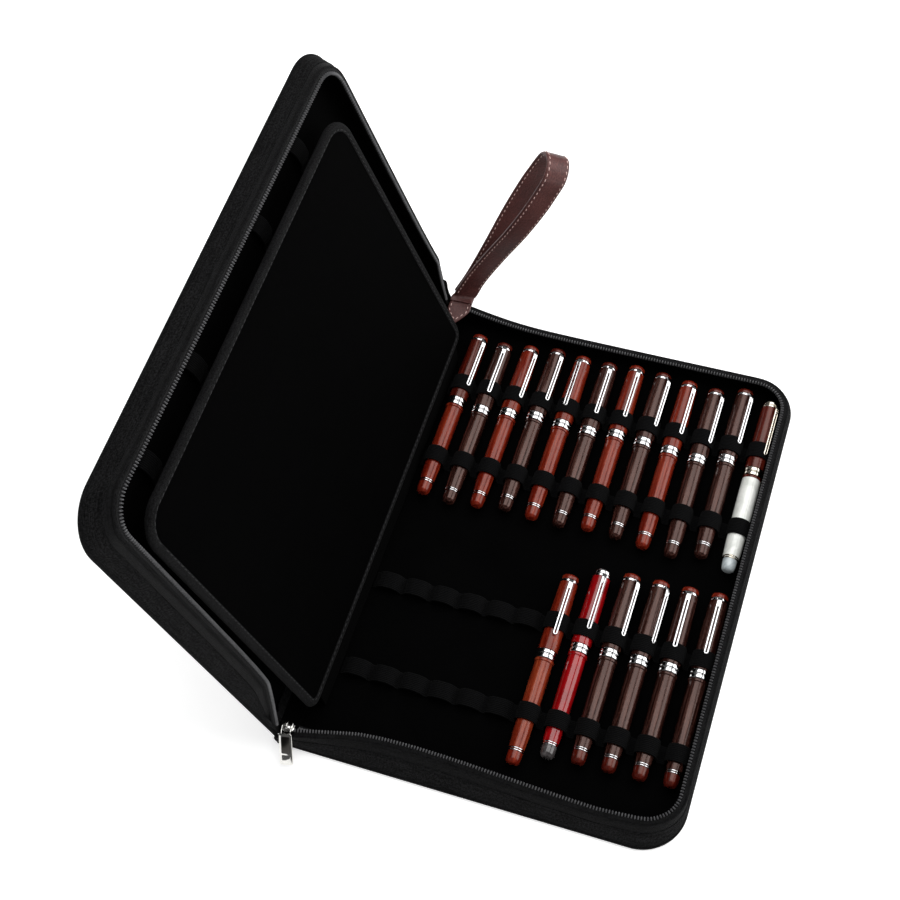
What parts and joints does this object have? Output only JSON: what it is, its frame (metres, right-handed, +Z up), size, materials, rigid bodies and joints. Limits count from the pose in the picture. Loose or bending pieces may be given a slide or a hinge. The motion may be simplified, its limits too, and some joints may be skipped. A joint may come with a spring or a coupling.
{
  "type": "zip-around fountain pen case",
  "caption": "Zip-around padded pen case standing open, with a hinged divider leaf, elastic pen loops, a leather wrist strap and capped pens in place.",
  "frame": {"origin": "centre of the underside of the base half, the flat face the case stands on", "axes": "+X from the spine to the fore edge, +Y along the pens towards their caps, +Z up"},
  "size_m": [0.3327, 0.422, 0.2807],
  "materials": {
    "case_canvas": "dull black woven cloth",
    "stiffener_board": "plain fibre board, hidden",
    "velvet_lining": "short black pile",
    "edge_piping": "black welt and binding, slight sheen",
    "elastic_webbing": "ribbed black elastic",
    "zipper_tape": "black herringbone tape",
    "zipper_coil": "black coil teeth",
    "nickel_hardware": "polished nickel",
    "strap_leather": "dark brown, smooth, light stitching",
    "orange_wood": "polished orange-red wood with chrome trim",
    "dark_wood": "polished dark brown wood with chrome trim",
    "red_lacquer": "bright red lacquer with chrome trim",
    "ivory_resin": "ivory barrel, dark brown cap"
  },
  "bodies": {
    "base": {"base_canvas_panel": "case_canvas", "base_edge_piping": "edge_piping", "base_lower_barrel_strip": "elastic_webbing", "base_lower_cap_strip": "elastic_webbing", "base_side_gusset": "case_canvas", "base_stiffener_board": "stiffener_board", "base_upper_barrel_strip": "elastic_webbing", "base_upper_cap_strip": "elastic_webbing", "base_velvet_lining": "velvet_lining", "base_zipper_tape": "zipper_tape", "base_zipper_teeth": "zipper_coil", "spine_canvas": "case_canvas", "divider_hinge_strip": "velvet_lining", "zipper_tail": "zipper_tape", "strap_anchor": "strap_leather"},
    "cover": {"cover_canvas_panel": "case_canvas", "cover_edge_piping": "edge_piping", "cover_lower_barrel_strip": "elastic_webbing", "cover_lower_cap_strip": "elastic_webbing", "cover_side_gusset": "case_canvas", "cover_spine_flap": "case_canvas", "cover_stiffener_board": "stiffener_board", "cover_upper_barrel_strip": "elastic_webbing", "cover_upper_cap_strip": "elastic_webbing", "cover_velvet_lining": "velvet_lining", "cover_zipper_tape": "zipper_tape", "cover_zipper_teeth": "zipper_coil"},
    "divider": {"divider_core_board": "stiffener_board", "divider_base_side_pad": "velvet_lining", "divider_cover_side_pad": "velvet_lining", "divider_bound_edge": "edge_piping"},
    "slider": {"zipper_slider": "nickel_hardware"},
    "pull": {"pull_bail": "nickel_hardware", "pull_tab": "nickel_hardware"},
    "strap": {"wrist_strap": "strap_leather"},
    "pen_01": {"pen_01": "orange_wood"},
    "pen_02": {"pen_02": "dark_wood"},
    "pen_03": {"pen_03": "orange_wood"},
    "pen_04": {"pen_04": "dark_wood"},
    "pen_05": {"pen_05": "orange_wood"},
    "pen_06": {"pen_06": "dark_wood"},
    "pen_07": {"pen_07": "orange_wood"},
    "pen_08": {"pen_08": "dark_wood"},
    "pen_09": {"pen_09": "orange_wood"},
    "pen_10": {"pen_10": "dark_wood"},
    "pen_11": {"pen_11": "dark_wood"},
    "pen_12": {"pen_12": "ivory_resin"},
    "pen_13": {"pen_13": "orange_wood"},
    "pen_14": {"pen_14": "red_lacquer"},
    "pen_15": {"pen_15": "dark_wood"},
    "pen_16": {"pen_16": "dark_wood"},
    "pen_17": {"pen_17": "dark_wood"},
    "pen_18": {"pen_18": "dark_wood"}
  },
  "joints": [
    {"name": "cover_fold", "type": "hinge", "parent": "base", "child": "cover", "pos_m": [-0.12258, 0, 0.03225], "axis": [0, 1, 0], "range_deg": [0, 103.5]},
    {"name": "divider_turn", "type": "hinge", "parent": "base", "child": "divider", "pos_m": [-0.112, 0, 0.024], "axis": [0, 1, 0], "range_deg": [0, 104.5]},
    {"name": "slider_travel", "type": "slide", "parent": "base", "child": "slider", "axis": [0.9821, 0.1882, 0], "range_m": [0, 0.03]},
    {"name": "pull_tab_swing", "type": "hinge", "parent": "slider", "child": "pull", "pos_m": [-0.1265, -0.17247, 0.02355], "axis": [-0.9821, -0.1882, 0], "range_deg": [0, 60]},
    {"name": "strap_swing", "type": "hinge", "parent": "base", "child": "strap", "pos_m": [-0.121, 0.1828, 0.0236], "axis": [-0.9066, 0.2103, 0.3659], "range_deg": [0, 65]},
    {"name": "withdraw_pen_01", "type": "slide", "parent": "base", "child": "pen_01", "axis": [0, 1, 0], "range_m": [-0.008, 0.002]},
    {"name": "withdraw_pen_02", "type": "slide", "parent": "base", "child": "pen_02", "axis": [0, 1, 0], "range_m": [-0.008, 0.002]},
    {"name": "withdraw_pen_03", "type": "slide", "parent": "base", "child": "pen_03", "axis": [0, 1, 0], "range_m": [-0.008, 0.002]},
    {"name": "withdraw_pen_04", "type": "slide", "parent": "base", "child": "pen_04", "axis": [0, 1, 0], "range_m": [-0.008, 0.002]},
    {"name": "withdraw_pen_05", "type": "slide", "parent": "base", "child": "pen_05", "axis": [0, 1, 0], "range_m": [-0.008, 0.002]},
    {"name": "withdraw_pen_06", "type": "slide", "parent": "base", "child": "pen_06", "axis": [0, 1, 0], "range_m": [-0.008, 0.002]},
    {"name": "withdraw_pen_07", "type": "slide", "parent": "base", "child": "pen_07", "axis": [0, 1, 0], "range_m": [-0.008, 0.002]},
    {"name": "withdraw_pen_08", "type": "slide", "parent": "base", "child": "pen_08", "axis": [0, 1, 0], "range_m": [-0.008, 0.002]},
    {"name": "withdraw_pen_09", "type": "slide", "parent": "base", "child": "pen_09", "axis": [0, 1, 0], "range_m": [-0.008, 0.002]},
    {"name": "withdraw_pen_10", "type": "slide", "parent": "base", "child": "pen_10", "axis": [0, 1, 0], "range_m": [-0.008, 0.002]},
    {"name": "withdraw_pen_11", "type": "slide", "parent": "base", "child": "pen_11", "axis": [0, 1, 0], "range_m": [-0.008, 0.002]},
    {"name": "withdraw_pen_12", "type": "slide", "parent": "base", "child": "pen_12", "axis": [0, 1, 0], "range_m": [-0.008, 0.002]},
    {"name": "withdraw_pen_13", "type": "slide", "parent": "base", "child": "pen_13", "axis": [0, 1, 0], "range_m": [-0.008, 0.005]},
    {"name": "withdraw_pen_14", "type": "slide", "parent": "base", "child": "pen_14", "axis": [0, 1, 0], "range_m": [-0.008, 0.005]},
    {"name": "withdraw_pen_15", "type": "slide", "parent": "base", "child": "pen_15", "axis": [0, 1, 0], "range_m": [-0.008, 0.005]},
    {"name": "withdraw_pen_16", "type": "slide", "parent": "base", "child": "pen_16", "axis": [0, 1, 0], "range_m": [-0.008, 0.005]},
    {"name": "withdraw_pen_17", "type": "slide", "parent": "base", "child": "pen_17", "axis": [0, 1, 0], "range_m": [-0.008, 0.005]},
    {"name": "withdraw_pen_18", "type": "slide", "parent": "base", "child": "pen_18", "axis": [0, 1, 0], "range_m": [-0.008, 0.005]}
  ],
  "couplings": [
    {"joint": "divider_turn", "follows": "cover_fold", "ratio": 1.009}
  ]
}
